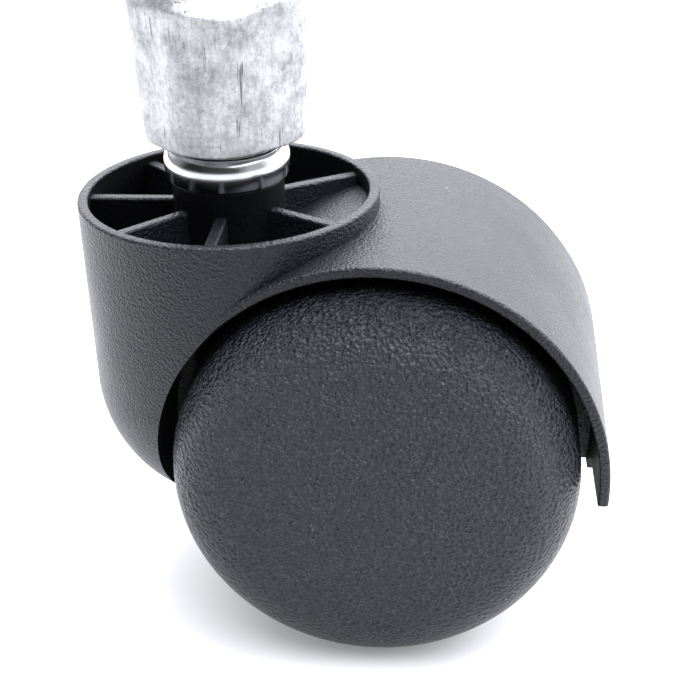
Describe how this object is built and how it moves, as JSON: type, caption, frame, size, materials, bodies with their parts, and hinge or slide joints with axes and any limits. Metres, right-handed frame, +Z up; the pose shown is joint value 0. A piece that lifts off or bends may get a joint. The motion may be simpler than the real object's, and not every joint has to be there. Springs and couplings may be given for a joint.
{
  "type": "swivel caster",
  "caption": "Twin-wheel hooded swivel caster with an open ribbed cup, chrome ring and grip-ring stem, shown in the end of a metal chair leg.",
  "frame": {"origin": "on the swivel axis, at the top face of the stem's collar, where the underside of the leg rests", "axes": "+Z up the stem, +X from the swivel axis towards the axle (the way the wheels trail), +Y along the axle towards the right wheel"},
  "size_m": [0.0659, 0.048, 0.0872],
  "materials": {
    "cast_leg_metal": "matte cast, bright and slightly mottled, with light vertical scratches",
    "bright_steel": "zinc-bright turned steel",
    "spring_steel": "dark phosphated spring steel",
    "black_acetal": "black acetal, satin",
    "chrome": "polished chrome",
    "bronze": "sintered bronze, dull",
    "black_nylon": "black moulded nylon, satin with a fine moulding grain",
    "charcoal_tyre": "charcoal moulded wheel surface, matte with a fine leather-like grain",
    "dark_core_plastic": "dark grey moulded nylon, matte"
  },
  "bodies": {
    "stem": {"stem_pin": "bright_steel", "grip_ring": "spring_steel", "stem_snap_ring": "spring_steel"},
    "leg_end": {"leg_socket": "cast_leg_metal"},
    "hood": {"hood": "black_nylon", "swivel_cap": "chrome", "thrust_washer": "black_acetal", "swivel_bush": "bronze", "thrust_plate": "bright_steel", "axle": "bright_steel", "left_spacer_washer": "bright_steel", "right_spacer_washer": "bright_steel", "left_axle_clip": "spring_steel", "right_axle_clip": "spring_steel"},
    "left_wheel": {"left_wheel_shell": "charcoal_tyre", "left_wheel_core": "dark_core_plastic", "left_hub_bush": "bronze"},
    "right_wheel": {"right_wheel_shell": "charcoal_tyre", "right_wheel_core": "dark_core_plastic", "right_hub_bush": "bronze"}
  },
  "joints": [
    {"name": "swivel", "type": "hinge", "parent": "stem", "child": "hood", "pos_m": [0, 0, -0.0036], "axis": [0, 0, 1], "continuous": true},
    {"name": "left_wheel_roll", "type": "hinge", "parent": "hood", "child": "left_wheel", "pos_m": [0.0188, -0.0137, -0.0376], "axis": [0, 1, 0], "continuous": true},
    {"name": "right_wheel_roll", "type": "hinge", "parent": "hood", "child": "right_wheel", "pos_m": [0.0188, 0.0137, -0.0376], "axis": [0, 1, 0], "continuous": true},
    {"name": "leg_pull_off", "type": "slide", "parent": "stem", "child": "leg_end", "axis": [0, 0, 1], "range_m": [0, 0.03]}
  ]
}
